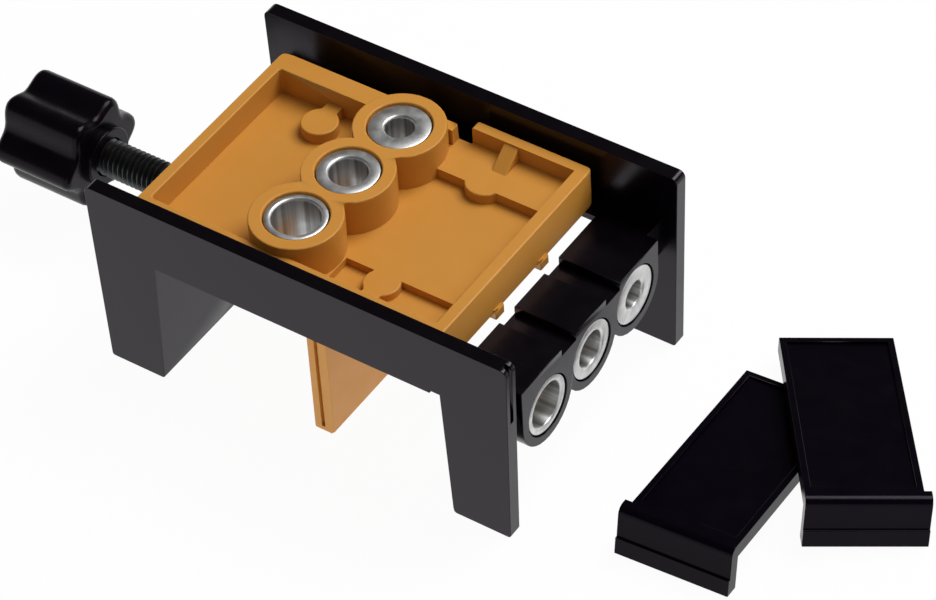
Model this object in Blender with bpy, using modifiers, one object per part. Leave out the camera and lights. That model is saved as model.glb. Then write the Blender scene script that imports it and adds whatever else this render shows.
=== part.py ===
"""Doweling jig: a moulded frame, a sliding drill guide, six steel bushings, a clamping spindle and two edge plates.

A board goes up into the frame until its end meets the lower edges of the side walls. The spindle's pad holds
it against the guide's jaw, and the bushings in the guide lead the drill into its end. A board between the jaw
and the end block is drilled through its face by the bushings in the end block. Lengths are in metres, +Z is
up and the feet stand on Z = 0. The origin is under the middle of the cross wall that holds the spindle's nut.
"""

from math import asin, atan2, cos, pi, radians, sin, sqrt, tan

import bmesh
import bpy
from mathutils import Matrix, Vector
from mathutils.bvhtree import BVHTree

MM = 0.001

# Clearances and fineness
FIT = 0.3 * MM
OVERLAP = 0.8 * MM
CUT_PAST = 2.0 * MM
MERGE = 0.002 * MM
ROUND_SIDES = 40
SLIM_SIDES = 32
DISC_SIDES = 24
ARC_STEPS = 4
SHARP_ANGLE = 35.0

# Frame
FRAME_LENGTH = 100.0 * MM
FRAME_WIDTH = 64.5 * MM
FRAME_HEIGHT = 47.0 * MM
WALL = 3.2 * MM
TOP_CORNER = 1.5 * MM
FOOT_CORNER = 0.7 * MM
LEG_TOP = 15.9 * MM
LEG_FOOT = 14.5 * MM
LEG_DRAFT = 1.1 * MM
BOARD_DATUM = 31.9 * MM
RELIEF_RISE = 0.7 * MM
RELIEF_LENGTH = 2.4 * MM
END_GROOVE_WIDTH = 1.1 * MM
END_GROOVE_DEPTH = 1.5 * MM
LEDGE_THICK = 1.5 * MM
LEDGE_WIDTH = 5.0 * MM
LEDGE_START = 3.0 * MM
CROSS_WALL = 3.2 * MM
CROSS_HEIGHT = 30.0 * MM

# Drill bushings, for 10, 8 and 6 mm bits. A row of three fills the width between the frame's ledges
BUSH_LENGTH = 12.7 * MM
BUSH_EDGE = 0.35 * MM
BUSH_MOUTH = 0.5 * MM
BUSH_LAND = 3.0 * MM
LEDGE_LAND = 1.55 * MM
BUSH_WALL_10 = 1.5 * MM
BUSH_WALL_8 = 2.5 * MM
BUSH_WALL_6 = 3.5 * MM
OFFSET_10 = 9.2 * MM
OFFSET_8 = 7.8 * MM
OFFSET_6 = 6.4 * MM

# End block
END_INSET = 2.0 * MM
BLOCK_LENGTH = 14.3 * MM
LOBE_WALL = 2.3 * MM
FACE_STEP = 2.6 * MM
SHOULDER_DEPTH = 9.0 * MM
CHANNEL_WIDTH = 5.2 * MM
CHANNEL_DEPTH = 1.9 * MM

# Sliding guide, with its jaw at BOARD_SPACE from the pad
BOARD_SPACE = 28.9 * MM
JAW_THICK = 4.8 * MM
JAW_SIDE = 0.9 * MM
JAW_LIFT = 0.5 * MM
JAW_CORNER = 1.0 * MM
JAW_CHAMFER = 1.2 * MM
NECK_INSET = 0.5 * MM
JAW_GROOVE = 0.9 * MM
JAW_BEAD = 1.8 * MM
SHOULDER_GAP = 0.4 * MM
TRAY_BEHIND = 41.1 * MM
TRAY_AHEAD = 32.3 * MM
TRAY_SIDE = 1.9 * MM
TRAY_THICK = 2.9 * MM
TRAY_CORNER = 1.2 * MM
WELL_CORNER = 0.8 * MM
SKIRT_DEPTH = 1.5 * MM
SKIRT_BEHIND = 24.2 * MM
SKIRT_AHEAD = 16.2 * MM
SKIRT_SIDE = 0.4 * MM
RIM_HEIGHT = 6.4 * MM
LEFT_RIM = 2.5 * MM
RIGHT_RIM = 2.8 * MM
FRONT_RIM = 2.5 * MM
BACK_RIM = 2.4 * MM
BACK_STEP = 2.9 * MM
BACK_STEP_AT = 5.1 * MM
BAND_WIDTH = 4.6 * MM
STUB_WIDTH = 2.2 * MM
STUB_END = 2.1 * MM
PLATFORM_RISE = 2.5 * MM
PLATFORM_WIDTH = 12.5 * MM
BUTTON_RADIUS = 4.4 * MM
BUTTON_AT = 13.5 * MM
BUTTON_INSET = 2.1 * MM
GUSSET_THICK = 3.5 * MM
GUSSET_SHIFT = 1.0 * MM
GUSSET_DROP = 0.4 * MM
GUSSET_REACH = 5.0 * MM
STUD_RADIUS = 4.0 * MM
STUD_RISE = 2.7 * MM
STUD_AT = 25.0 * MM
STUD_INSET = 13.3 * MM
STUD_RIB = 3.5 * MM
BOSS_WALL = 3.15 * MM
BOSS_HEIGHT = 8.7 * MM
BUSH_SINK = 0.4 * MM
POCKET_DEPTH = 1.8 * MM
POCKET_WIDTH = 11.0 * MM
POCKET_START = 0.6 * MM
POCKET_END = 25.8 * MM
POCKET_RIB = 4.0 * MM
POCKET_RIB_AT = 10.4 * MM
DISC_RADIUS = 3.9 * MM
DISC_INSET = 2.0 * MM
RUNNER_WIDTH = 2.8 * MM
RUNNER_REACH = 0.8 * MM

# Clamping spindle, its nut, pad and knob
AXIS_HEIGHT = 18.7 * MM
SPINDLE_RADIUS = 4.0 * MM
SPINDLE_CHAMFER = 0.7 * MM
NECK_RADIUS = 2.0 * MM
BUTTON_END = 2.9 * MM
BUTTON_LENGTH = 1.3 * MM
NUT_ACROSS = 13.0 * MM
NUT_THICK = 6.3 * MM
NUT_WALL = 2.9 * MM
NUT_SLOPE = 30.0
HUB_RADIUS = 10.0 * MM
PAD_RADIUS = 10.5 * MM
PAD_THICK = 4.2 * MM
PAD_EDGE = 0.6 * MM
PAD_LIP = 0.9 * MM
PAD_BOSS = 6.0 * MM
PAD_RIM = 2.4 * MM
KNOB_FREE = 27.0 * MM
KNOB_RADIUS = 12.2 * MM
KNOB_LENGTH = 21.5 * MM
KNOB_LOBES = 6
KNOB_FLUTE = 1.3 * MM
KNOB_EDGE = 1.5 * MM
KNOB_SOCKET = 14.0 * MM
KNOB_COLLAR = 6.6 * MM
KNOB_COLLAR_LENGTH = 1.8 * MM

# Edge plates
PLATE_LENGTH = 51.9 * MM
PLATE_WIDTH = 23.3 * MM
PLATE_THICK = 3.4 * MM
PLATE_BORDER = 1.4 * MM
PLATE_RECESS = 0.6 * MM
LIP_HEIGHT = 11.3 * MM
LIP_THICK = 2.9 * MM
LIP_OVERHANG = 1.5 * MM
LIP_ROUND = 1.8 * MM
LIP_STEP = 0.5 * MM
LIP_STEP_HEIGHT = 4.0 * MM
LYING_PLACE = (105.5 * MM, -24.9 * MM)
LYING_TURN = 3.8
LEANING_PLACE = (136.5 * MM, -6.4 * MM)
LEANING_TURN = 35.7
LEANING_PITCH = 8.2
LEANING_ROLL = 5.0

# Places worked out from the sizes
FRAME_LEFT = CROSS_WALL / 2 - LEG_FOOT
FRAME_RIGHT = FRAME_LEFT + FRAME_LENGTH
HALF_OUTSIDE = FRAME_WIDTH / 2
HALF_INSIDE = HALF_OUTSIDE - WALL
WINDOW_SLOPE = (LEG_TOP - LEG_FOOT) / BOARD_DATUM
CROSS_FACE = CROSS_WALL / 2 + WINDOW_SLOPE * AXIS_HEIGHT
CROSS_BACK = -CROSS_WALL / 2
DECK = BOARD_DATUM + LEDGE_THICK
HALF_LEDGE = HALF_INSIDE - LEDGE_WIDTH
END_OUTER = FRAME_RIGHT - END_INSET
END_INNER = END_OUTER - BLOCK_LENGTH
BUSH_RADIUS = (HALF_LEDGE - LEDGE_LAND - BUSH_LAND) / 3
BUSH_HOLE = BUSH_RADIUS + FIT
PITCH = 2 * BUSH_RADIUS + BUSH_LAND
LOBE_RADIUS = BUSH_RADIUS + LOBE_WALL
BOSS_RADIUS = BUSH_RADIUS + BOSS_WALL
NUT_FACE = CROSS_FACE - FIT
NUT_BACK = NUT_FACE - NUT_THICK
HUB_BACK = NUT_BACK - FIT - NUT_WALL
PAD_BACK = CROSS_WALL / 2 + WINDOW_SLOPE * (AXIS_HEIGHT + PAD_RADIUS) + FIT
PAD_FACE = PAD_BACK + PAD_THICK
JAW_BACK = PAD_FACE + BOARD_SPACE
JAW_FRONT = JAW_BACK + JAW_THICK
JAW_HALF = HALF_INSIDE - JAW_SIDE
JAW_TOP = BOARD_DATUM - SHOULDER_GAP
TRAY_LEFT = JAW_BACK - TRAY_BEHIND
TRAY_RIGHT = JAW_BACK + TRAY_AHEAD
TRAY_HALF = HALF_INSIDE - TRAY_SIDE
TRAY_BOTTOM = DECK + FIT
TRAY_TOP = TRAY_BOTTOM + TRAY_THICK
RIM_TOP = TRAY_TOP + RIM_HEIGHT
SKIRT_HALF = HALF_LEDGE - SKIRT_SIDE
SKIRT_BOTTOM = TRAY_BOTTOM - SKIRT_DEPTH
BAND_HALF = TRAY_HALF - BACK_STEP
GUIDE_TOP = TRAY_TOP + BOSS_HEIGHT
PLATFORM_TOP = TRAY_TOP + PLATFORM_RISE
PLATFORM_EDGE = TRAY_HALF - PLATFORM_WIDTH
KNOB_FACE = HUB_BACK - KNOB_FREE
KNOB_BACK = KNOB_FACE - KNOB_LENGTH

BORES = {"10": BUSH_RADIUS - BUSH_WALL_10, "8": BUSH_RADIUS - BUSH_WALL_8, "6": BUSH_RADIUS - BUSH_WALL_6}
OFFSETS = {"10": OFFSET_10, "8": OFFSET_8, "6": OFFSET_6}
SIDES = {"10": -PITCH, "8": 0.0, "6": PITCH}

PARTS = bpy.data.collections.new("Doweling jig")
CUTTERS = bpy.data.collections.new("Cutters")


def clear_scene():
    for old in list(bpy.data.objects):
        bpy.data.objects.remove(old)
    for collection in (PARTS, CUTTERS):
        bpy.context.scene.collection.children.link(collection)


def material(name, colour, roughness, metallic=0.0):
    """A plain Principled material. The colour is linear red, green and blue."""
    made = bpy.data.materials.new(name)
    made.use_nodes = True
    shader = made.node_tree.nodes["Principled BSDF"]
    shader.inputs["Base Color"].default_value = (*colour, 1.0)
    shader.inputs["Roughness"].default_value = roughness
    shader.inputs["Metallic"].default_value = metallic
    made.diffuse_color = (*colour, 1.0)
    return made


def as_object(name, shape):
    """The bmesh as an object of its own, in the parts' collection."""
    bmesh.ops.recalc_face_normals(shape, faces=shape.faces)
    mesh = bpy.data.meshes.new(name)
    shape.to_mesh(mesh)
    shape.free()
    made = bpy.data.objects.new(name, mesh)
    PARTS.objects.link(made)
    return made


def block(name, low, high):
    """A box between two opposite corners."""
    low, high = Vector(low), Vector(high)
    shape = bmesh.new()
    bmesh.ops.create_cube(shape, size=1.0)
    bmesh.ops.scale(shape, vec=high - low, verts=shape.verts)
    bmesh.ops.translate(shape, vec=(low + high) / 2, verts=shape.verts)
    return as_object(name, shape)


AXES = {
    "X": Matrix(((0, 0, 1), (1, 0, 0), (0, 1, 0))),
    "Y": Matrix(((1, 0, 0), (0, 0, -1), (0, 1, 0))),
    "Z": Matrix.Identity(3),
}


def rod(name, axis, centre, low, high, radius, sides=ROUND_SIDES):
    """A cylinder along an axis, from low to high. The centre gives its two other coordinates, in order."""
    shape = bmesh.new()
    bmesh.ops.create_cone(
        shape, cap_ends=True, segments=sides, radius1=radius, radius2=radius, depth=high - low
    )
    bmesh.ops.rotate(shape, matrix=AXES[axis], verts=shape.verts)
    middle = list(centre)
    middle.insert("XYZ".index(axis), (low + high) / 2)
    bmesh.ops.translate(shape, vec=middle, verts=shape.verts)
    return as_object(name, shape)


def rounded(corners, steps=ARC_STEPS):
    """An outline's points from its corners, each (across, up, radius). Radius 0 leaves a corner sharp."""
    points = []
    for index, (across, up, radius) in enumerate(corners):
        corner = Vector((across, up))
        if radius == 0:
            points.append(corner)
            continue
        before = (Vector(corners[index - 1][:2]) - corner).normalized()
        after = (Vector(corners[(index + 1) % len(corners)][:2]) - corner).normalized()
        half = before.angle(after) / 2
        centre = corner + (before + after).normalized() * radius / sin(half)
        first = corner + before * radius / tan(half) - centre
        last = corner + after * radius / tan(half) - centre
        turn = atan2(first.cross(last), first.dot(last))
        for step in range(steps + 1):
            points.append(centre + Matrix.Rotation(turn * step / steps, 2) @ first)
    return points


def plate(name, axis, low, high, *outlines, edge=0.0):
    """A flat piece from low to high along an axis. The first outline is its edge, any others are holes.

    Across X an outline's points are (Y, Z), across Y they are (X, Z) and across Z they are (X, Y).
    """
    flat = bpy.data.curves.new(name, "CURVE")
    flat.dimensions = "2D"
    flat.fill_mode = "BOTH"
    flat.extrude = (high - low) / 2 - edge
    flat.bevel_depth = edge
    flat.offset = -edge
    flat.bevel_resolution = 2
    for outline in outlines:
        spline = flat.splines.new("POLY")
        spline.points.add(len(outline) - 1)
        for point, (across, up) in zip(spline.points, outline):
            point.co = (across, up, 0.0, 1.0)
        spline.use_cyclic_u = True
    drawn = bpy.data.objects.new(name, flat)
    CUTTERS.objects.link(drawn)
    graph = bpy.context.evaluated_depsgraph_get()
    shape = bmesh.new()
    shape.from_mesh(bpy.data.meshes.new_from_object(drawn.evaluated_get(graph)))
    bpy.data.objects.remove(drawn)
    bmesh.ops.remove_doubles(shape, verts=shape.verts, dist=MERGE)
    bmesh.ops.rotate(shape, matrix=AXES[axis], verts=shape.verts)
    move = Vector((0.0, 0.0, 0.0))
    move["XYZ".index(axis)] = (low + high) / 2
    bmesh.ops.translate(shape, vec=move, verts=shape.verts)
    return as_object(name, shape)


def turned(name, profile, sides=ROUND_SIDES):
    """A turned piece about local Z. The profile's points are (radius, height), down its outer side."""
    shape = bmesh.new()
    points = [shape.verts.new((radius, 0.0, height)) for radius, height in profile]
    for one, other in zip(points, points[1:]):
        shape.edges.new((one, other))
    if profile[0][0] > 0:
        shape.edges.new((points[-1], points[0]))
    mesh = bpy.data.meshes.new(name)
    shape.to_mesh(mesh)
    shape.free()
    made = bpy.data.objects.new(name, mesh)
    PARTS.objects.link(made)
    spin = made.modifiers.new("Turn", "SCREW")
    spin.axis = "Z"
    spin.steps = sides
    spin.render_steps = sides
    spin.use_merge_vertices = True
    spin.merge_threshold = MERGE
    return made


def boolean(target, tool, operation):
    """Joins a piece with a tool or cuts it by one, and keeps the tool as a hidden cutter."""
    change = target.modifiers.new(tool.name, "BOOLEAN")
    change.operation = operation
    change.solver = "EXACT"
    change.object = tool
    PARTS.objects.unlink(tool)
    CUTTERS.objects.link(tool)
    tool.hide_render = True
    tool.display_type = "WIRE"


def join(target, *pieces):
    for piece in pieces:
        boolean(target, piece, "UNION")


def cut(target, *cutters):
    for cutter in cutters:
        boolean(target, cutter, "DIFFERENCE")


def finish(made, name, surface):
    """Fixes the shape as built, with its own name, material and shading."""
    graph = bpy.context.evaluated_depsgraph_get()
    mesh = bpy.data.meshes.new_from_object(made.evaluated_get(graph))
    made.modifiers.clear()
    made.data = mesh
    made.name = name
    mesh.name = name
    mesh.materials.clear()
    mesh.materials.append(surface)
    mesh.shade_smooth()
    mesh.set_sharp_from_angle(angle=radians(SHARP_ANGLE))
    return made


def side_outline():
    """A side wall from the front: two legs that narrow to the feet, and a window for the board between them."""
    foot_left = FRAME_LEFT + LEG_DRAFT
    foot_right = FRAME_RIGHT - LEG_DRAFT
    relief = BOARD_DATUM + RELIEF_RISE
    return rounded([
        (foot_left, 0.0, FOOT_CORNER),
        (FRAME_LEFT + LEG_FOOT, 0.0, FOOT_CORNER),
        (FRAME_LEFT + LEG_TOP, BOARD_DATUM, 0.0),
        (FRAME_RIGHT - LEG_TOP - RELIEF_LENGTH, BOARD_DATUM, 0.0),
        (FRAME_RIGHT - LEG_TOP - RELIEF_LENGTH, relief, 0.0),
        (FRAME_RIGHT - LEG_TOP, relief, 0.0),
        (FRAME_RIGHT - LEG_FOOT, 0.0, FOOT_CORNER),
        (foot_right, 0.0, FOOT_CORNER),
        (FRAME_RIGHT, FRAME_HEIGHT, TOP_CORNER),
        (FRAME_LEFT, FRAME_HEIGHT, TOP_CORNER),
    ])


def inside_outline():
    """The space between the side walls from the front. It leaves the cross wall, level with the window's edge."""
    left = FRAME_LEFT - CUT_PAST
    right = FRAME_RIGHT + CUT_PAST
    return rounded([
        (left, -CUT_PAST, 0.0),
        (CROSS_BACK, -CUT_PAST, 0.0),
        (CROSS_BACK, CROSS_HEIGHT, 0.0),
        (PAD_FACE, CROSS_HEIGHT, 0.0),
        (PAD_FACE, -CUT_PAST, 0.0),
        (right, -CUT_PAST, 0.0),
        (right, FRAME_HEIGHT + CUT_PAST, 0.0),
        (left, FRAME_HEIGHT + CUT_PAST, 0.0),
    ])


def lobe_outline(side, drop):
    """The end block round one bushing, seen from the end: round below and straight up to the deck."""
    arc_steps = 4 * ARC_STEPS
    arc = [pi + pi * step / arc_steps for step in range(arc_steps + 1)]
    points = [(side + LOBE_RADIUS * cos(turn), BOARD_DATUM - drop + LOBE_RADIUS * sin(turn)) for turn in arc]
    points.append((side + LOBE_RADIUS, DECK))
    points.append((side - LOBE_RADIUS, DECK))
    return points


def frame():
    """The black moulding: side walls, cross wall with the nut's hub, ledges and the end block."""
    made = plate("Walls", "Y", -HALF_OUTSIDE, HALF_OUTSIDE, side_outline())
    cut(made, plate("Inside", "Y", -HALF_INSIDE, HALF_INSIDE, inside_outline()))
    join(made, rod("Hub", "X", (0.0, AXIS_HEIGHT), HUB_BACK, CROSS_BACK + OVERLAP, HUB_RADIUS))

    into_walls = HALF_INSIDE + OVERLAP
    shoulder_end = END_OUTER - FACE_STEP
    for side in (-1, 1):
        ends = sorted((side * HALF_LEDGE, side * into_walls))
        low = (FRAME_LEFT + LEDGE_START, ends[0], BOARD_DATUM)
        high = (END_INNER + OVERLAP, ends[1], DECK)
        join(made, block("Ledge", low, high))
        low = (END_INNER, ends[0], DECK - SHOULDER_DEPTH)
        high = (shoulder_end, ends[1], DECK)
        join(made, block("Shoulder", low, high))
    for bit, side in SIDES.items():
        outline = lobe_outline(side, OFFSETS[bit])
        join(made, plate("Lobe", "X", END_INNER, END_OUTER, outline))

    for bit, side in SIDES.items():
        centre = (side, BOARD_DATUM - OFFSETS[bit])
        ends = (END_INNER - CUT_PAST, END_OUTER + CUT_PAST)
        cut(made, rod("Bushing hole", "X", centre, *ends, BUSH_HOLE))
    for side in (-1, 1):
        middle = side * PITCH / 2
        low = (END_INNER - CUT_PAST, middle - CHANNEL_WIDTH / 2, DECK - CHANNEL_DEPTH)
        high = (END_OUTER + CUT_PAST, middle + CHANNEL_WIDTH / 2, DECK + CUT_PAST)
        cut(made, block("Channel", low, high))
    middle = -HALF_INSIDE - WALL / 2
    low = (FRAME_RIGHT - END_GROOVE_DEPTH, middle - END_GROOVE_WIDTH / 2, BOARD_DATUM)
    high = (FRAME_RIGHT + CUT_PAST, middle + END_GROOVE_WIDTH / 2, FRAME_HEIGHT + CUT_PAST)
    cut(made, block("End groove", low, high))

    pocket = NUT_ACROSS / sqrt(3) + 2 * FIT / sqrt(3)
    centre = (0.0, AXIS_HEIGHT)
    cut(made, rod("Nut pocket", "X", centre, NUT_BACK - FIT, CROSS_FACE + CUT_PAST, pocket, 6))
    cut(made, rod("Spindle hole", "X", centre, HUB_BACK - CUT_PAST, CROSS_FACE, SPINDLE_RADIUS + 2 * FIT))
    return made


def bushing(name, inner, surface):
    """A hardened drill bushing along local Z, with countersunk mouths and broken outer edges."""
    end = BUSH_LENGTH
    made = turned(name, [
        (inner + BUSH_MOUTH, end),
        (BUSH_RADIUS - BUSH_EDGE, end),
        (BUSH_RADIUS, end - BUSH_EDGE),
        (BUSH_RADIUS, BUSH_EDGE),
        (BUSH_RADIUS - BUSH_EDGE, 0.0),
        (inner + BUSH_MOUTH, 0.0),
        (inner, BUSH_MOUTH),
        (inner, end - BUSH_MOUTH),
    ])
    return finish(made, name, surface)


def tray_outline():
    """The guide's tray from above. Its back edge steps out beside the drilled end."""
    step = JAW_BACK + BACK_STEP_AT
    return rounded([
        (TRAY_LEFT, -TRAY_HALF, TRAY_CORNER),
        (TRAY_RIGHT, -TRAY_HALF, TRAY_CORNER),
        (TRAY_RIGHT, TRAY_HALF, TRAY_CORNER),
        (step, TRAY_HALF, 0.0),
        (step, BAND_HALF, 0.0),
        (TRAY_LEFT, BAND_HALF, TRAY_CORNER),
    ])


def well():
    """The tray's hollow as a cutter: the floor inside the rims, less the round button on the platform's edge."""
    left = TRAY_LEFT + LEFT_RIM
    right = TRAY_RIGHT - RIGHT_RIM
    front = -TRAY_HALF + FRONT_RIM
    platform = JAW_BACK - OFFSET_6
    band = BAND_HALF - BAND_WIDTH
    above = RIM_TOP + CUT_PAST
    made = plate("Well", "Z", TRAY_TOP, above, rounded([
        (left, front, WELL_CORNER),
        (right, front, WELL_CORNER),
        (right, PLATFORM_EDGE, 0.0),
        (platform, PLATFORM_EDGE, 0.0),
        (platform, band, 0.0),
        (left, band, WELL_CORNER),
    ]))
    centre = (JAW_BACK + BUTTON_AT, PLATFORM_EDGE + BUTTON_INSET)
    cut(made, rod("Button", "Z", centre, TRAY_TOP - CUT_PAST, above + CUT_PAST, BUTTON_RADIUS, DISC_SIDES))
    return made


def platform_well():
    """The space over the platform as a cutter. It leaves the back rim, and a stub of the band behind the boss."""
    left = JAW_BACK - OFFSET_6
    right = TRAY_RIGHT - RIGHT_RIM
    stub = JAW_BACK + STUB_END
    front = PLATFORM_EDGE - BUTTON_RADIUS
    return plate("Platform well", "Z", PLATFORM_TOP, RIM_TOP + CUT_PAST, rounded([
        (left, front, 0.0),
        (right, front, 0.0),
        (right, TRAY_HALF - BACK_RIM, 0.0),
        (stub, TRAY_HALF - BACK_RIM, 0.0),
        (stub, BAND_HALF - STUB_WIDTH, 0.0),
        (left, BAND_HALF - STUB_WIDTH, 0.0),
    ]))


def gusset():
    """The web that braces the back rim, seen from the end: it slopes from the rim's top to the platform."""
    inside = TRAY_HALF - BACK_RIM
    middle = JAW_BACK + BUTTON_AT + GUSSET_SHIFT
    outline = rounded([
        (inside + OVERLAP, PLATFORM_TOP - OVERLAP, 0.0),
        (inside + OVERLAP, RIM_TOP - GUSSET_DROP, 0.0),
        (inside, RIM_TOP - GUSSET_DROP, 0.0),
        (inside - GUSSET_REACH, PLATFORM_TOP, 0.0),
        (inside - GUSSET_REACH, PLATFORM_TOP - OVERLAP, 0.0),
    ])
    return plate("Gusset", "X", middle - GUSSET_THICK / 2, middle + GUSSET_THICK / 2, outline)


def stud():
    """A round stud on the tray's floor, with a rib that ties it to the band behind it."""
    across = JAW_BACK - STUD_AT
    back = TRAY_HALF - STUD_INSET
    neck = asin(STUD_RIB / 2 / STUD_RADIUS)
    steps = 6 * ARC_STEPS
    outline = []
    for step in range(steps + 1):
        turn = pi / 2 + neck + (2 * pi - 2 * neck) * step / steps
        outline.append(Vector((across + STUD_RADIUS * cos(turn), back + STUD_RADIUS * sin(turn))))
    outline.append(Vector((across + STUD_RIB / 2, BAND_HALF - BAND_WIDTH + OVERLAP)))
    outline.append(Vector((across - STUD_RIB / 2, BAND_HALF - BAND_WIDTH + OVERLAP)))
    return plate("Stud", "Z", TRAY_TOP - OVERLAP, TRAY_TOP + STUD_RISE, outline)


def pockets():
    """Two shallow pockets at the tray's front edge, parted by a rib with a round end, all as one cutter."""
    left = JAW_BACK + POCKET_START
    right = JAW_BACK + POCKET_END
    front = -TRAY_HALF + FRONT_RIM
    rib = JAW_BACK + POCKET_RIB_AT
    floor = TRAY_TOP - POCKET_DEPTH
    above = TRAY_TOP + CUT_PAST
    made = block("Pockets", (left, front, floor), (right, front + POCKET_WIDTH, above))
    low = (rib - POCKET_RIB / 2, front - CUT_PAST, floor - CUT_PAST)
    high = (rib + POCKET_RIB / 2, front + POCKET_WIDTH + CUT_PAST, above + CUT_PAST)
    cut(made, block("Pocket rib", low, high))
    centre = (rib, front + POCKET_WIDTH - DISC_INSET)
    cut(made, rod("Pocket disc", "Z", centre, floor - CUT_PAST, above + CUT_PAST, DISC_RADIUS, DISC_SIDES))
    return made


def skirt():
    """The thick part under the tray that fits between the ledges, with two runners for the block's channels."""
    left = JAW_BACK - SKIRT_BEHIND
    right = JAW_BACK + SKIRT_AHEAD
    nub = TRAY_RIGHT + RUNNER_REACH
    inner = (PITCH - RUNNER_WIDTH) / 2
    outer = (PITCH + RUNNER_WIDTH) / 2
    outline = [(left, -SKIRT_HALF), (right, -SKIRT_HALF)]
    outline += [(right, -outer), (nub, -outer), (nub, -inner), (right, -inner)]
    outline += [(right, inner), (nub, inner), (nub, outer), (right, outer)]
    outline += [(right, SKIRT_HALF), (left, SKIRT_HALF)]
    return plate("Skirt", "Z", SKIRT_BOTTOM, TRAY_BOTTOM + OVERLAP, outline)


def jaw():
    """The jaw that hangs through the frame on a narrower neck, with a groove down each end."""
    neck = SKIRT_HALF - NECK_INSET
    made = plate("Jaw", "X", JAW_BACK, JAW_FRONT, rounded([
        (-JAW_HALF, JAW_LIFT, JAW_CORNER),
        (JAW_HALF, JAW_LIFT, JAW_CORNER),
        (JAW_HALF, JAW_TOP, 0.0),
        (neck, JAW_TOP, 0.0),
        (neck, TRAY_BOTTOM + OVERLAP, 0.0),
        (-neck, TRAY_BOTTOM + OVERLAP, 0.0),
        (-neck, JAW_TOP, 0.0),
        (-JAW_HALF, JAW_TOP, 0.0),
    ]))
    for side in (-1, 1):
        ends = sorted((side * (JAW_HALF - JAW_GROOVE), side * (JAW_HALF + CUT_PAST)))
        low = (JAW_BACK + JAW_BEAD, ends[0], JAW_LIFT + JAW_BEAD)
        high = (JAW_BACK + JAW_BEAD + JAW_GROOVE, ends[1], JAW_TOP + CUT_PAST)
        cut(made, block("Jaw groove", low, high))
    bevel = plate("Jaw chamfer", "Y", -HALF_INSIDE, HALF_INSIDE, rounded([
        (JAW_FRONT - JAW_CHAMFER - CUT_PAST, JAW_LIFT - CUT_PAST, 0.0),
        (JAW_FRONT + CUT_PAST, JAW_LIFT - CUT_PAST, 0.0),
        (JAW_FRONT + CUT_PAST, JAW_LIFT + JAW_CHAMFER + CUT_PAST, 0.0),
    ]))
    cut(made, bevel)
    return made


def guide():
    """The ochre moulding: a rimmed tray that slides on the ledges, three bosses for bushings, and the jaw."""
    made = plate("Tray", "Z", TRAY_BOTTOM, RIM_TOP, tray_outline())
    cut(made, well(), platform_well(), pockets())
    join(made, gusset(), stud(), skirt(), jaw())
    places = [(JAW_BACK - OFFSETS[bit], side) for bit, side in SIDES.items()]
    for centre in places:
        join(made, rod("Boss", "Z", centre, TRAY_BOTTOM + OVERLAP, GUIDE_TOP, BOSS_RADIUS))
    for centre in places:
        cut(made, rod("Bushing hole", "Z", centre, SKIRT_BOTTOM - CUT_PAST, GUIDE_TOP + CUT_PAST, BUSH_HOLE))
    return made


def spindle_nut():
    """The hexagon nut in the cross wall, with its corners turned off at both ends."""
    radius = NUT_ACROSS / sqrt(3)
    flat = NUT_ACROSS / 2
    drop = (radius + FIT - flat) * tan(radians(NUT_SLOPE))
    made = turned("Nut barrel", [
        (0.0, NUT_THICK),
        (flat, NUT_THICK),
        (radius + FIT, NUT_THICK - drop),
        (radius + FIT, drop),
        (flat, 0.0),
        (0.0, 0.0),
    ])
    hexagon = rod("Hexagon", "Z", (0.0, 0.0), -CUT_PAST, NUT_THICK + CUT_PAST, radius, 6)
    boolean(made, hexagon, "INTERSECT")
    cut(made, rod("Thread hole", "Z", (0.0, 0.0), -CUT_PAST, NUT_THICK + CUT_PAST, SPINDLE_RADIUS + FIT))
    return made


def clamp_spindle():
    """The spindle along local Z, with its origin at the end of the thread: neck and button above, knob below."""
    tip = BUTTON_LENGTH + PAD_LIP + 2 * FIT
    thread_start = KNOB_FACE - KNOB_SOCKET + FIT - PAD_BACK + FIT
    return turned("clamp_spindle", [
        (0.0, tip),
        (BUTTON_END, tip),
        (BUTTON_END, tip - BUTTON_LENGTH),
        (NECK_RADIUS, tip - BUTTON_LENGTH),
        (NECK_RADIUS, 0.0),
        (SPINDLE_RADIUS - SPINDLE_CHAMFER, 0.0),
        (SPINDLE_RADIUS, -SPINDLE_CHAMFER),
        (SPINDLE_RADIUS, thread_start + SPINDLE_CHAMFER),
        (SPINDLE_RADIUS - SPINDLE_CHAMFER, thread_start),
        (0.0, thread_start),
    ], SLIM_SIDES)


def pressure_pad():
    """The pad along local Z, hollow behind its rim, with a socket that holds the spindle's button."""
    chamber = PAD_LIP + BUTTON_LENGTH + 2 * FIT
    hollow = PAD_THICK - PAD_LIP - BUTTON_LENGTH - 2 * FIT
    return turned("pressure_pad", [
        (0.0, PAD_THICK),
        (PAD_RADIUS - PAD_EDGE, PAD_THICK),
        (PAD_RADIUS, PAD_THICK - PAD_EDGE),
        (PAD_RADIUS, PAD_EDGE),
        (PAD_RADIUS - PAD_EDGE, 0.0),
        (PAD_RADIUS - PAD_RIM, 0.0),
        (PAD_RADIUS - PAD_RIM, PAD_THICK - hollow),
        (PAD_BOSS, PAD_THICK - hollow),
        (PAD_BOSS, 0.0),
        (NECK_RADIUS + FIT, 0.0),
        (NECK_RADIUS + FIT, PAD_LIP),
        (BUTTON_END + FIT, PAD_LIP),
        (BUTTON_END + FIT, chamber),
        (0.0, chamber),
    ])


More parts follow.
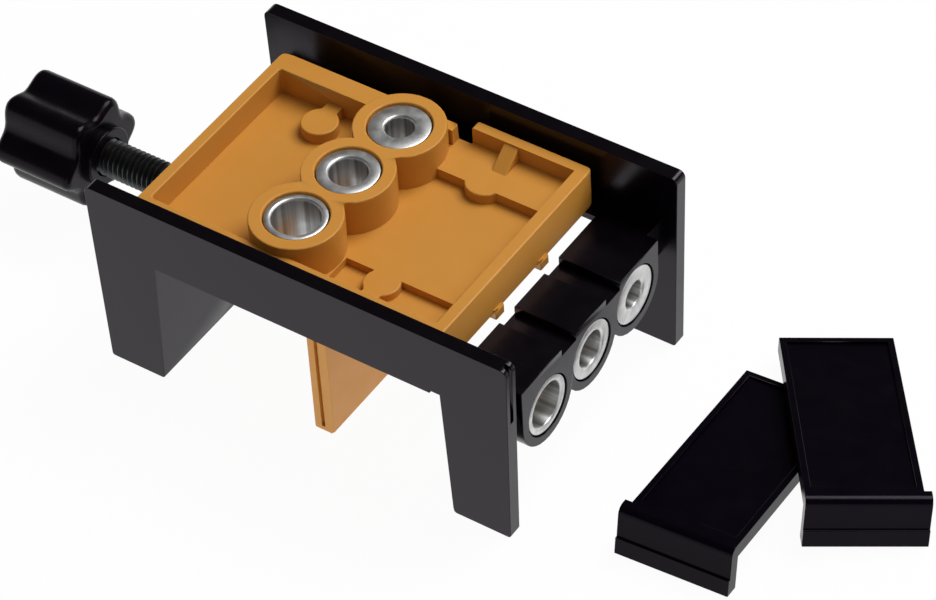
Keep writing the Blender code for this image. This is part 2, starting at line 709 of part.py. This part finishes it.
def knob():
    """The lobed knob, with rounded ends, a collar and a blind hole for the spindle."""
    steps = 12 * KNOB_LOBES
    outline = []
    for step in range(steps):
        turn = 2 * pi * step / steps
        radius = KNOB_RADIUS - KNOB_FLUTE * (1 - cos(KNOB_LOBES * turn))
        outline.append(Vector((radius * cos(turn), radius * sin(turn) + AXIS_HEIGHT)))
    made = plate("knob", "X", KNOB_BACK, KNOB_FACE - KNOB_COLLAR_LENGTH, outline, edge=KNOB_EDGE)
    centre = (0.0, AXIS_HEIGHT)
    collar_start = KNOB_FACE - KNOB_COLLAR_LENGTH - OVERLAP
    join(made, rod("Collar", "X", centre, collar_start, KNOB_FACE, KNOB_COLLAR))
    hole_start = KNOB_FACE - KNOB_SOCKET
    cut(made, rod("Socket", "X", centre, hole_start, KNOB_FACE + CUT_PAST, SPINDLE_RADIUS + FIT, SLIM_SIDES))
    return made


def edge_plate(name, side):
    """A plate with a lip under its near end. The lip reaches past the plate on one side, -1 left or 1 right.

    The origin is under the lip's left front corner, and the plate runs along local Y.
    """
    lip_width = PLATE_WIDTH + LIP_OVERHANG
    left = LIP_OVERHANG if side < 0 else 0.0
    made = plate(name, "X", 0.0, lip_width, rounded([
        (LIP_THICK, 0.0, 0.0),
        (LIP_THICK, LIP_HEIGHT, 0.0),
        (0.0, LIP_HEIGHT, LIP_ROUND),
        (0.0, LIP_STEP_HEIGHT, 0.0),
        (-LIP_STEP, LIP_STEP_HEIGHT, 0.0),
        (-LIP_STEP, 0.0, 0.0),
    ]))
    low = (left, LIP_THICK - OVERLAP, LIP_HEIGHT - PLATE_THICK)
    high = (left + PLATE_WIDTH, PLATE_LENGTH, LIP_HEIGHT)
    join(made, block("Plate", low, high))
    low = (left + PLATE_BORDER, LIP_THICK + PLATE_BORDER, LIP_HEIGHT - PLATE_RECESS)
    high = (left + PLATE_WIDTH - PLATE_BORDER, PLATE_LENGTH - PLATE_BORDER, LIP_HEIGHT + CUT_PAST)
    cut(made, block("Recess", low, high))
    return made


def place(made, where, tilt=(0.0, 0.0, 0.0)):
    made.location = where
    made.rotation_euler = tilt
    bpy.context.view_layer.update()


def surface_tree(made):
    """The piece's faces where it stands, for finding what it touches."""
    corners = [made.matrix_world @ corner.co for corner in made.data.vertices]
    return BVHTree.FromPolygons(corners, [face.vertices for face in made.data.polygons])


def set_down(made, below=None):
    """Lowers a tilted piece until its lowest corner is on the floor, or lifts it until it clears the one below."""
    lowest = min((made.matrix_world @ corner.co).z for corner in made.data.vertices)
    place(made, made.location - Vector((0.0, 0.0, lowest)), made.rotation_euler)
    while below and surface_tree(made).overlap(surface_tree(below)):
        place(made, made.location + Vector((0.0, 0.0, FIT)), made.rotation_euler)


def build():
    clear_scene()
    black = material("Black plastic", (0.010, 0.009, 0.010), 0.35)
    ochre = material("Ochre plastic", (0.60, 0.28, 0.045), 0.45)
    zinc = material("Zinc plated steel", (0.55, 0.57, 0.58), 0.3, 1.0)
    dark_steel = material("Blackened steel", (0.03, 0.03, 0.032), 0.45, 1.0)

    finish(frame(), "frame", black)
    finish(guide(), "guide_slide", ochre)
    along_x = AXES["X"].to_euler()
    for bit, side in SIDES.items():
        upright = bushing(f"guide_bushing_{bit}", BORES[bit], zinc)
        place(upright, (JAW_BACK - OFFSETS[bit], side, GUIDE_TOP - BUSH_SINK - BUSH_LENGTH))
        level = bushing(f"end_bushing_{bit}", BORES[bit], zinc)
        place(level, (END_OUTER - FIT / 2 - BUSH_LENGTH, side, BOARD_DATUM - OFFSETS[bit]), along_x)

    nut = finish(spindle_nut(), "spindle_nut", zinc)
    place(nut, (NUT_BACK, 0.0, AXIS_HEIGHT), along_x)
    spindle = finish(clamp_spindle(), "clamp_spindle", dark_steel)
    place(spindle, (PAD_BACK - FIT, 0.0, AXIS_HEIGHT), along_x)
    pad = finish(pressure_pad(), "pressure_pad", zinc)
    place(pad, (PAD_BACK, 0.0, AXIS_HEIGHT), along_x)
    finish(knob(), "knob", black)

    rest = -atan2(LIP_HEIGHT - PLATE_THICK, PLATE_LENGTH - LIP_THICK)
    lying = finish(edge_plate("edge_plate_left", -1), "edge_plate_left", black)
    place(lying, (*LYING_PLACE, 0.0), (rest, 0.0, radians(LYING_TURN)))
    set_down(lying)
    leaning = finish(edge_plate("edge_plate_right", 1), "edge_plate_right", black)
    tilt = (radians(-LEANING_PITCH), radians(LEANING_ROLL), radians(LEANING_TURN))
    place(leaning, (*LEANING_PLACE, 0.0), tilt)
    set_down(leaning, lying)


build()
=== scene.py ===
"""The doweling jig dressed for a studio picture.

The moulded plastics get rounded edges, the bushings, pad and nut are turned steel, and the clamping
spindle gets its cut thread. Everything stands in the CAD frame, in metres, at rest.
"""

from math import cos, inf, pi, radians, sin

import bmesh
import bpy
from mathutils import Matrix, Vector


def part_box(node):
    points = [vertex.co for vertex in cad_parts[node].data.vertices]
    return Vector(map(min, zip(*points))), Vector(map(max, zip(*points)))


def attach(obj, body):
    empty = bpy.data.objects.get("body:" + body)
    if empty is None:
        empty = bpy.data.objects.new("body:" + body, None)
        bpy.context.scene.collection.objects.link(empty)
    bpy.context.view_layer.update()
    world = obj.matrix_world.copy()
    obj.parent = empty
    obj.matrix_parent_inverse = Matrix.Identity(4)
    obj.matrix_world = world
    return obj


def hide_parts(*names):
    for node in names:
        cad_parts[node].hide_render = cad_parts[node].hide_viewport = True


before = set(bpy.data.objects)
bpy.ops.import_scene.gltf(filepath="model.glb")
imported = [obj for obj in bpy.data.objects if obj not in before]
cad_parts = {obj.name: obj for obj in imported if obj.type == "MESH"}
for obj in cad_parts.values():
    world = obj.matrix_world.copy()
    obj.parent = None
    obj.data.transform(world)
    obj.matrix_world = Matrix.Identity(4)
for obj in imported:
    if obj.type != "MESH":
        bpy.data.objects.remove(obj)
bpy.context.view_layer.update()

MM = 0.001

# Meshes. Points nearer than WELD are one, faces that meet flatter than FLAT_ANGLE are one, and edges
# sharper than SMOOTH_ANGLE stay sharp. Edges that bend less than SAME_RUN continue each other.
WELD = 0.002 * MM
FLAT_ANGLE = radians(0.4)
SMOOTH_ANGLE = radians(33)
SAME_RUN = radians(25)
TURN_STEPS = 96
Z_TO_X = Matrix(((0, 0, 1), (1, 0, 0), (0, 1, 0)))

# Rounded edges of the moulded and turned pieces. A rounding takes at most room / ROOM_PER_RADIUS.
# Edges that run into an inner corner stay sharp on faces narrower than the corner room. The frame's
# corner room is wider than any of its faces, so there all of them stay sharp.
EDGE_STEPS = 3
ROOM_PER_RADIUS = 2.4
FRAME_EDGE = 0.15 * MM
FRAME_CORNER_ROOM = 100.0 * MM
GUIDE_EDGE = 0.35 * MM
GUIDE_CORNER_ROOM = 1.6 * MM
KNOB_EDGE = 0.35 * MM
PLATE_EDGE = 0.14 * MM
PAD_EDGE = 0.15 * MM
NUT_EDGE = 0.12 * MM

# Bushings for drills of these sizes in millimetres. The countersink's two bends are given by how far out
# and how deep they lie, as shares of BUSH_MOUTH.
DRILL_SIZES = (10, 8, 6)
BUSH_EDGE = 0.35 * MM
BUSH_EDGE_BEND = 0.3
BUSH_MOUTH = 0.5 * MM
MOUTH_LOW_BEND = (0.12, 0.68)
MOUTH_HIGH_BEND = (0.86, 0.04)

# Clamping spindle. A thread tooth's flanks and crest start and end at these shares of the pitch.
THREAD_PITCH = 1.25 * MM
THREAD_DEPTH = 0.77 * MM
THREAD_STEPS = 32
TOOTH_START = 0.125
CREST_START = 0.45
CREST_END = 0.575
TOOTH_END = 0.9
NECK_RADIUS = 2.0 * MM
NECK_LENGTH = 1.5 * MM
BUTTON_RADIUS = 2.9 * MM
BUTTON_LENGTH = 1.3 * MM
BUTTON_BACK_EDGE = 0.25 * MM
BUTTON_FRONT_EDGE = 0.3 * MM
CENTRE_HOLE = 0.3 * MM

# Plastics. The sizes are how wide the patterns' clouds, worn places and pits are.
FLOW_SIZE = 14 * MM
WEAR_SIZE = 5 * MM
PIT_SIZE = 0.45 * MM
PIT_DEPTH = 0.02 * MM
PLASTIC_IOR = 1.53

# Steels. RING_FEED is in millimetres, as the lathe distance is. The painted reflections, pale streaky
# highlights standing in for the room shining on turned metal, are scaled on a circle of radius 1 round the
# axis. Away from them the colour is multiplied by a painted shade, slight on the ends and deep in a bore.
MOTTLE_SIZE = 2.5 * MM
RING_FEED = 0.25
RING_DEPTH = 0.03 * MM
PAINTED_REFLECTION_SCALE = 2.2
PAINTED_REFLECTION_SPAN = {"From Min": 0.38, "From Max": 0.62}
END_PAINTED_SHADE = 0.82
BORE_PAINTED_SHADE = 0.34

# Most of a noise lies in this range, which is spread over the whole range of what it drives.
NOISE_SPAN = {"From Min": 0.3, "From Max": 0.7}

# Sockets of a Mix node that mixes colours, which share their names with its number sockets
COLOUR_A, COLOUR_B, COLOUR_OUT = 6, 7, 2

# The camera, fitted to the photograph's corners and bushings. Its lens and sensor are in millimetres.
CAMERA_AZIMUTH = radians(36.31)
CAMERA_ELEVATION = radians(44.86)
CAMERA_ROLL = radians(-3.79)
CAMERA_DISTANCE = 854.11 * MM
CAMERA_TARGET = Vector((50.98, 6.50, 14.77)) * MM
CAMERA_LENS = 162.71
CAMERA_NEAR = 10.0 * MM
SENSOR_WIDTH = 36.0

# The studio, in metres and watts. Where two strengths stand together, the first lights the object and
# the second is what the camera, reflections and glass see. The sweep's end and the ceiling's start are
# heights on a sphere of radius 1.
FLOOR_REACH = 3.0
FLOOR_DROP = 0.02 * MM
FLOOR_GLOW = (1.9, 1.0)
FLOOR_GLOW_SHARE = (0.75, 0.96)
ROOM_LIGHT = 0.24
SWEEP_WHITE = 1.0
SWEEP_END = 0.12
CEILING_START = 0.25
CEILING_GREY = 0.07
SOFTBOX_PLACE = Vector((0.31, 0.38, 0.77))
SOFTBOX_AIM = Vector((0.03, 0.0, 0.02))
SOFTBOX_SIZE = 0.6
SOFTBOX_POWER = 7.9


def srgb(code):
    """A colour written as sRGB hex, as linear red, green, blue and alpha."""
    parts = [int(code[at:at + 2], 16) / 255 for at in (1, 3, 5)]
    linear = [part / 12.92 if part <= 0.04045 else ((part + 0.055) / 1.055) ** 2.4 for part in parts]
    return (*linear, 1.0)


def feed(tree, node, inputs):
    """Gives each of the node's inputs a value, or a link where it is another node's output."""
    for name, value in inputs.items():
        if isinstance(value, bpy.types.NodeSocket):
            tree.links.new(value, node.inputs[name])
        else:
            node.inputs[name].default_value = value


def add(tree, kind, inputs=None, **settings):
    """Adds a node with its settings and inputs."""
    made = tree.nodes.new("ShaderNode" + kind)
    for name, value in settings.items():
        setattr(made, name, value)
    feed(tree, made, inputs or {})
    return made


def new_material(name):
    """An empty material, with its tree and the Principled shader that it ends in."""
    made = bpy.data.materials.new(name)
    made.use_nodes = True
    return made, made.node_tree, made.node_tree.nodes["Principled BSDF"]


def moulded_plastic(name, pale, deep, gloss, dull, grain, shine, sheen="#ffffff"):
    """Injection moulded plastic, whose colour is pale to deep and whose roughness is gloss to dull.

    The melt's flow clouds the colour, and worn parts of the mould dull the gloss. The pits that the
    mould leaves are much finer than a pixel, so they are drawn as coarse as PIT_SIZE.
    """
    made, tree, shader = new_material(name)
    place = add(tree, "TexCoord").outputs["Object"]
    flow = add(tree, "TexNoise", {"Vector": place, "Scale": 1 / FLOW_SIZE, "Detail": 3.0}).outputs["Fac"]
    wear = add(tree, "TexNoise", {"Vector": place, "Scale": 1 / WEAR_SIZE, "Detail": 4.0}).outputs["Fac"]
    pits = add(tree, "TexNoise", {"Vector": place, "Scale": 1 / PIT_SIZE, "Detail": 2.0}).outputs["Fac"]
    tint = add(
        tree, "Mix", {"Factor": flow, COLOUR_A: srgb(pale), COLOUR_B: srgb(deep)}, data_type="RGBA",
    ).outputs[COLOUR_OUT]
    rough = add(
        tree, "MapRange", {"Value": wear, **NOISE_SPAN, "To Min": gloss, "To Max": dull},
    ).outputs["Result"]
    relief = add(tree, "Bump", {"Height": pits, "Strength": grain, "Distance": PIT_DEPTH}).outputs["Normal"]
    feed(tree, shader, {
        "Base Color": tint,
        "Roughness": rough,
        "Normal": relief,
        "IOR": PLASTIC_IOR,
        "Specular IOR Level": shine,
        "Specular Tint": srgb(sheen),
    })
    return made


def turned_steel(name, pale, deep, gloss, dull, ridge):
    """Turned steel under a thin finish, whose colour is pale to deep and whose roughness is gloss to dull.

    The finish is mottled. The tool's rings follow the lathe distance, in millimetres, that a spun
    piece's mesh carries. Their real feed is too fine to show, so they lie as far apart as RING_FEED.
    A bore is darkened by painted shade and streaked with painted highlights along it. Both run on faintly
    over the ends.
    """
    made, tree, shader = new_material(name)
    place = add(tree, "TexCoord").outputs["Object"]
    along = add(tree, "Attribute", attribute_name="lathe").outputs["Fac"]
    around = add(tree, "Attribute", attribute_name="around").outputs["Vector"]
    inside = add(tree, "Attribute", attribute_name="bore").outputs["Fac"]
    mottle = add(tree, "TexNoise", {"Vector": place, "Scale": 1 / MOTTLE_SIZE, "Detail": 3.0}).outputs["Fac"]
    rings = add(
        tree, "TexNoise", {"W": along, "Scale": 1 / RING_FEED, "Detail": 3.0}, noise_dimensions="1D",
    ).outputs["Fac"]
    # Painted reflections: pale streaky highlights round the axis, standing in for the room shining on the
    # metal.
    painted_reflections = add(tree, "TexNoise", {"Vector": around, "Scale": PAINTED_REFLECTION_SCALE, "Detail": 2.0}).outputs["Fac"]
    painted_reflections = add(tree, "MapRange", {"Value": painted_reflections, **PAINTED_REFLECTION_SPAN}).outputs["Result"]
    # Painted shade: the colour is darkened a little on the ends and far more in a bore, where shade falls.
    painted_shade_level = add(
        tree, "MapRange", {"Value": inside, "To Min": END_PAINTED_SHADE, "To Max": BORE_PAINTED_SHADE},
    ).outputs["Result"]
    # The painted shade, lifted to full brightness under the painted highlights.
    shade = add(tree, "Mix", {"Factor": painted_reflections, "A": painted_shade_level, "B": 1.0}).outputs["Result"]
    finish = add(
        tree, "Mix", {"Factor": mottle, COLOUR_A: srgb(pale), COLOUR_B: srgb(deep)}, data_type="RGBA",
    ).outputs[COLOUR_OUT]
    tint = add(
        tree, "Mix", {"Factor": 1.0, COLOUR_A: finish, COLOUR_B: shade},
        data_type="RGBA", blend_type="MULTIPLY",
    ).outputs[COLOUR_OUT]
    rough = add(
        tree, "MapRange", {"Value": mottle, **NOISE_SPAN, "To Min": gloss, "To Max": dull},
    ).outputs["Result"]
    relief = add(
        tree, "Bump", {"Height": rings, "Strength": ridge, "Distance": RING_DEPTH},
    ).outputs["Normal"]
    feed(tree, shader, {"Base Color": tint, "Metallic": 1.0, "Roughness": rough, "Normal": relief})
    return made


def as_piece(name, shape, surface, body, slot, *nodes):
    """The bmesh as a piece of the scene, which rides on the body and stands for the nodes."""
    rounding = shape.edges.layers.float.get("bevel_weight_edge")
    for face in shape.faces:
        face.smooth = True
    for edge in shape.edges:
        rounded = rounding and edge[rounding] > 0
        edge.smooth = rounded or edge.calc_face_angle(0.0) < SMOOTH_ANGLE
    mesh = bpy.data.meshes.new(name)
    shape.to_mesh(mesh)
    shape.free()
    # The CAD mesh's own stored normals would shade the rounded edges as if they were still sharp.
    if "custom_normal" in mesh.attributes:
        mesh.attributes.remove(mesh.attributes["custom_normal"])
    mesh.materials.clear()
    mesh.materials.append(surface)
    piece = bpy.data.objects.new(name, mesh)
    bpy.context.scene.collection.objects.link(piece)
    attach(piece, body)
    if nodes:
        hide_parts(*nodes)
    return piece


def room_beside(edge):
    """The narrowest width of the two faces beside an edge, which is the room for rounding it."""
    start, end = edge.verts[0].co, edge.verts[1].co
    length = (end - start).length
    along = (end - start) / length
    least = inf
    for face in edge.link_faces:
        for other in face.edges:
            if other == edge:
                continue
            run = other.verts[1].co - other.verts[0].co
            bend = run.angle(along, 0.0)
            touching = any(corner in edge.verts for corner in other.verts)
            if touching and min(bend, pi - bend) < SAME_RUN:
                continue
            for corner in other.verts:
                if corner in edge.verts:
                    continue
                from_start = corner.co - start
                at = from_start.dot(along)
                if touching or 0 <= at <= length:
                    least = min(least, (from_start - along * at).length)
    return least


def meets_inner_corner(edge):
    """Whether a sharp inner edge runs into either end of the edge."""
    return any(
        beside.is_manifold and not beside.is_convex and beside.calc_face_angle() > SMOOTH_ANGLE
        for corner in edge.verts for beside in corner.link_edges
    )


def rounded_copy(node, surface, body, slot, radius, corner_room=0.0):
    """The node's own shape with its outer edges rounded, and rounded less where there is less room.

    An edge that runs into an inner corner stays sharp where its room is under corner_room.
    """
    shape = bmesh.new()
    shape.from_mesh(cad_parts[node].data)
    bmesh.ops.remove_doubles(shape, verts=shape.verts, dist=WELD)
    bmesh.ops.dissolve_limit(shape, angle_limit=FLAT_ANGLE, verts=shape.verts, edges=shape.edges)
    rounding = shape.edges.layers.float.new("bevel_weight_edge")
    for edge in shape.edges:
        if edge.is_manifold and edge.is_convex and edge.calc_face_angle() > SMOOTH_ANGLE:
            room = room_beside(edge)
            if room > corner_room or not meets_inner_corner(edge):
                edge[rounding] = min(1.0, room / (ROOM_PER_RADIUS * radius))
    piece = as_piece(node + "_finish", shape, surface, body, slot, node)
    soften = piece.modifiers.new("Rounded edges", "BEVEL")
    soften.width = radius
    soften.segments = EDGE_STEPS
    soften.limit_method = "WEIGHT"
    soften.use_clamp_overlap = False
    soften.miter_outer = "MITER_SHARP"
    soften.face_strength_mode = "FSTR_ALL"
    flat = piece.modifiers.new("Flat faces", "WEIGHTED_NORMAL")
    flat.keep_sharp = True
    flat.use_face_influence = True


def lay_along(shape, axis, centre, low):
    """Takes a shape made about Z to the given axis through the centre, with its foot at the low end."""
    if axis == "X":
        bmesh.ops.rotate(shape, matrix=Z_TO_X, verts=shape.verts)
    place = Vector(centre)
    place["XYZ".index(axis)] = low
    bmesh.ops.translate(shape, vec=place, verts=shape.verts)


def spun(profile, axis, centre, low):
    """A turned ring. The profile is a closed loop of (radius, height) from the low end of the axis.

    Its mesh carries the lathe distance along the profile, the direction round the axis, and whether a
    point is in the bore.
    """
    shape = bmesh.new()
    lathe = shape.verts.layers.float.new("lathe")
    points = []
    run = 0.0
    for index, (radius, height) in enumerate(profile):
        point = shape.verts.new((radius, 0.0, height))
        if index:
            before = profile[index - 1]
            run += Vector((radius - before[0], height - before[1])).length
        point[lathe] = run / MM
        points.append(point)
    for one, other in zip(points, points[1:] + points[:1]):
        shape.edges.new((one, other))
    bmesh.ops.spin(
        shape, geom=shape.verts[:] + shape.edges[:], cent=(0, 0, 0), axis=(0, 0, 1),
        angle=2 * pi, steps=TURN_STEPS, use_merge=True,
    )
    bmesh.ops.remove_doubles(shape, verts=shape.verts, dist=WELD)
    around = shape.verts.layers.float_vector.new("around")
    inside = shape.verts.layers.float.new("bore")
    narrowest = min(radius for radius, height in profile)
    for point in shape.verts:
        point[around] = Vector((point.co.x, point.co.y, 0.0)).normalized()
        point[inside] = 1.0 if point.co.xy.length < narrowest + WELD else 0.0
    lay_along(shape, axis, centre, low)
    bmesh.ops.recalc_face_normals(shape, faces=shape.faces)
    return shape


def bushing(node, axis, bore, surface, body):
    """A drill bushing: ground outside, broken edges, countersunk mouths and a reamed bore."""
    low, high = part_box(node)
    across = "XYZ".index(axis)
    middle = (high - low)[across] / 2
    outer = (high - low).y / 2
    edge_bend = BUSH_EDGE_BEND * BUSH_EDGE
    half = [(bore, middle - BUSH_MOUTH)]
    for out, deep in (MOUTH_LOW_BEND, MOUTH_HIGH_BEND):
        half.append((bore + out * BUSH_MOUTH, middle - deep * BUSH_MOUTH))
    half += [
        (bore + BUSH_MOUTH, middle),
        (outer - BUSH_EDGE, middle),
        (outer - edge_bend, middle - edge_bend),
        (outer, middle - BUSH_EDGE),
    ]
    profile = [(radius, middle + height) for radius, height in half]
    profile += [(radius, middle - height) for radius, height in reversed(half)]
    shape = spun(profile, axis, (low + high) / 2, low[across])
    as_piece(node + "_finish", shape, surface, body, "plated_steel", node)


def threaded_spindle(surface, body):
    """The clamping spindle, with a right-hand thread, and the neck and button that the pad's socket holds.

    The thread is cut by sweeping one pitch of its profile round and along, past both ends, and then
    cutting it off square at its start and at the neck.
    """
    low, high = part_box("clamp_spindle")
    centre = (low + high) / 2
    outer = (high - low).z / 2
    root = outer - THREAD_DEPTH
    head_length = NECK_LENGTH + BUTTON_LENGTH
    thread_end = high.x - low.x - head_length
    turns_before = 2
    turns = int(thread_end / THREAD_PITCH) + turns_before + 1
    tooth = (
        (root, 0.0),
        (root, TOOTH_START),
        (outer, CREST_START),
        (outer, CREST_END),
        (root, TOOTH_END),
        (root, 1.0),
    )
    shape = bmesh.new()
    points = [
        shape.verts.new((radius, 0.0, (share - turns_before) * THREAD_PITCH)) for radius, share in tooth
    ]
    for one, other in zip(points, points[1:]):
        shape.edges.new((one, other))
    bmesh.ops.spin(
        shape, geom=shape.verts[:] + shape.edges[:], cent=(0, 0, 0), axis=(0, 0, 1),
        dvec=(0, 0, THREAD_PITCH / THREAD_STEPS), angle=2 * pi * turns,
        steps=THREAD_STEPS * turns, use_merge=False,
    )
    bmesh.ops.remove_doubles(shape, verts=shape.verts, dist=WELD)
    for height, side in ((0.0, -1), (thread_end, 1)):
        bmesh.ops.bisect_plane(
            shape, geom=shape.verts[:] + shape.edges[:] + shape.faces[:], dist=WELD / 10,
            plane_co=(0, 0, height), plane_no=(0, 0, side), clear_outer=True,
        )
        rim = [
            edge for edge in shape.edges if edge.is_boundary and abs(edge.verts[0].co.z - height) < WELD
        ]
        bmesh.ops.holes_fill(shape, edges=rim, sides=0)
    bmesh.ops.recalc_face_normals(shape, faces=shape.faces)
    lay_along(shape, "X", centre, low.x)
    as_piece("clamp_spindle_finish", shape, surface, body, "black_steel", "clamp_spindle")

    head = spun([
        (CENTRE_HOLE, 0.0),
        (NECK_RADIUS, 0.0),
        (NECK_RADIUS, NECK_LENGTH),
        (BUTTON_RADIUS - BUTTON_BACK_EDGE, NECK_LENGTH),
        (BUTTON_RADIUS, NECK_LENGTH + BUTTON_BACK_EDGE),
        (BUTTON_RADIUS, head_length - BUTTON_FRONT_EDGE),
        (BUTTON_RADIUS - BUTTON_FRONT_EDGE, head_length),
        (CENTRE_HOLE, head_length),
    ], "X", centre, low.x + thread_end)
    as_piece("clamp_spindle_button", head, surface, body, "black_steel")


# The frame's polished mould gives a near black with clear reflections that are faintly violet.
black = moulded_plastic(
    "Black ABS, polished mould", pale="#060308", deep="#030204",
    gloss=0.18, dull=0.26, grain=0.06, shine=0.24, sheen="#fbecff",
)

# The plates come from a satin mould: the same black, but it hardly shines.
plate_black = moulded_plastic(
    "Black ABS, satin mould", pale="#08040c", deep="#040207",
    gloss=0.16, dull=0.24, grain=0.08, shine=0.09, sheen="#fbe6ff",
)

# The knob's harder plastic spreads its reflections a little more, so its lobes have soft pale edges.
knob_black = moulded_plastic(
    "Black phenolic, moulded", pale="#08050a", deep="#050307",
    gloss=0.22, dull=0.34, grain=0.10, shine=0.14, sheen="#fbe6ff",
)

# The guide is dyed through, in a warm even ochre with a dull gloss that shows no sharp reflection.
ochre = moulded_plastic(
    "Ochre ABS, injection moulded", pale="#ca8c38", deep="#c18434",
    gloss=0.36, dull=0.50, grain=0.12, shine=0.30,
)

# The plating is bright and a little cloudy, with faint rings from the lathe on the ends of the bushings.
zinc = turned_steel(
    "Zinc plated steel, turned", pale="#e9e9e6", deep="#d6d7d8", gloss=0.34, dull=0.48, ridge=0.12,
)

# The oiled black finish is dark grey and shines on the crests of the thread.
blackened = turned_steel(
    "Blackened steel, cut thread", pale="#5b5d5e", deep="#3c3d3f", gloss=0.30, dull=0.42, ridge=0.15,
)

rounded_copy("frame", black, "frame_body", "black_plastic", FRAME_EDGE, FRAME_CORNER_ROOM)
rounded_copy("guide_slide", ochre, "guide_body", "ochre_plastic", GUIDE_EDGE, GUIDE_CORNER_ROOM)
rounded_copy("knob", knob_black, "spindle_body", "black_plastic", KNOB_EDGE)
rounded_copy("edge_plate_left", plate_black, "frame_body", "black_plastic", PLATE_EDGE)
rounded_copy("edge_plate_right", plate_black, "frame_body", "black_plastic", PLATE_EDGE)
rounded_copy("pressure_pad", zinc, "pad_body", "plated_steel", PAD_EDGE)
rounded_copy("spindle_nut", zinc, "frame_body", "plated_steel", NUT_EDGE)
for drill in DRILL_SIZES:
    bushing(f"guide_bushing_{drill}", "Z", drill * MM / 2, zinc, "guide_body")
    bushing(f"end_bushing_{drill}", "X", drill * MM / 2, zinc, "frame_body")
threaded_spindle(blackened, "spindle_body")


def is_seen(tree):
    """1 where the camera, a reflection or glass looks at the surface, and 0 where it only gives light."""
    rays = add(tree, "LightPath").outputs
    looks = add(
        tree, "Math", {0: rays["Is Camera Ray"], 1: rays["Is Glossy Ray"]}, operation="MAXIMUM",
    ).outputs[0]
    return add(
        tree, "Math", {0: looks, 1: rays["Is Transmission Ray"]}, operation="MAXIMUM",
    ).outputs[0]


def paper_floor():
    """A pale paper floor that shows white, keeps a soft shadow and throws light up under the jig."""
    shape = bmesh.new()
    bmesh.ops.create_grid(shape, x_segments=1, y_segments=1, size=FLOOR_REACH)
    bmesh.ops.translate(shape, vec=(0, 0, -FLOOR_DROP), verts=shape.verts)
    mesh = bpy.data.meshes.new("floor")
    shape.to_mesh(mesh)
    shape.free()
    floor = bpy.data.objects.new("floor", mesh)
    bpy.context.scene.collection.objects.link(floor)

    # Matt white paper has no gloss. It glows, so that it stays white beyond the softbox.
    paper, tree, shader = new_material("White paper floor")
    feed(tree, shader, {"Base Color": srgb("#f4f4f4"), "Roughness": 0.9, "Specular IOR Level": 0.0})
    seen = is_seen(tree)
    bright = add(tree, "Mix", {"Factor": seen, "A": FLOOR_GLOW[0], "B": FLOOR_GLOW[1]}).outputs["Result"]
    share = add(
        tree, "Mix", {"Factor": seen, "A": FLOOR_GLOW_SHARE[0], "B": FLOOR_GLOW_SHARE[1]},
    ).outputs["Result"]
    glow = add(tree, "Emission", {"Color": srgb("#ffffff"), "Strength": bright}).outputs["Emission"]
    both = add(tree, "MixShader", {"Fac": share, 1: shader.outputs["BSDF"], 2: glow}).outputs["Shader"]
    feed(tree, tree.nodes["Material Output"], {"Surface": both})
    mesh.materials.append(paper)


def white_sweep():
    """The room: an even dim light on the jig, with a white sweep under a dim ceiling for its reflections."""
    world = bpy.data.worlds.new("White sweep under a dim ceiling")
    bpy.context.scene.world = world
    world.use_nodes = True
    tree = world.node_tree
    towards = add(tree, "TexCoord").outputs["Generated"]
    height = add(tree, "SeparateXYZ", {"Vector": towards}).outputs["Z"]
    sweep = add(tree, "MapRange", {
        "Value": height, "From Min": SWEEP_END, "From Max": CEILING_START,
        "To Min": SWEEP_WHITE, "To Max": CEILING_GREY,
    }).outputs["Result"]
    strength = add(tree, "Mix", {"Factor": is_seen(tree), "A": ROOM_LIGHT, "B": sweep}).outputs["Result"]
    feed(tree, tree.nodes["Background"], {"Color": srgb("#ffffff"), "Strength": strength})


def softbox():
    """The one square softbox, to the right of the jig, behind it and above."""
    lamp = bpy.data.lights.new("Main softbox", "AREA")
    lamp.shape = "SQUARE"
    lamp.size = SOFTBOX_SIZE
    lamp.energy = SOFTBOX_POWER
    made = bpy.data.objects.new("Main softbox", lamp)
    made.location = SOFTBOX_PLACE
    made.rotation_euler = (SOFTBOX_AIM - SOFTBOX_PLACE).to_track_quat("-Z", "Y").to_euler()
    bpy.context.scene.collection.objects.link(made)


def camera():
    """The photograph's viewpoint."""
    back = Vector((
        sin(CAMERA_AZIMUTH) * cos(CAMERA_ELEVATION),
        -cos(CAMERA_AZIMUTH) * cos(CAMERA_ELEVATION),
        sin(CAMERA_ELEVATION),
    ))
    right = Vector((cos(CAMERA_AZIMUTH), sin(CAMERA_AZIMUTH), 0.0))
    up = back.cross(right)
    across = right * cos(CAMERA_ROLL) + up * sin(CAMERA_ROLL)
    upward = up * cos(CAMERA_ROLL) - right * sin(CAMERA_ROLL)
    lens = bpy.data.cameras.new("Camera")
    lens.lens = CAMERA_LENS
    lens.sensor_width = SENSOR_WIDTH
    lens.sensor_fit = "HORIZONTAL"
    lens.clip_start = CAMERA_NEAR
    made = bpy.data.objects.new("Camera", lens)
    turn = Matrix((across, upward, back)).transposed().to_4x4()
    made.matrix_world = Matrix.Translation(CAMERA_TARGET + back * CAMERA_DISTANCE) @ turn
    bpy.context.scene.collection.objects.link(made)
    bpy.context.scene.camera = made


paper_floor()
white_sweep()
softbox()
camera()
bpy.context.scene.view_settings.view_transform = "Standard"

bpy.context.view_layer.update()
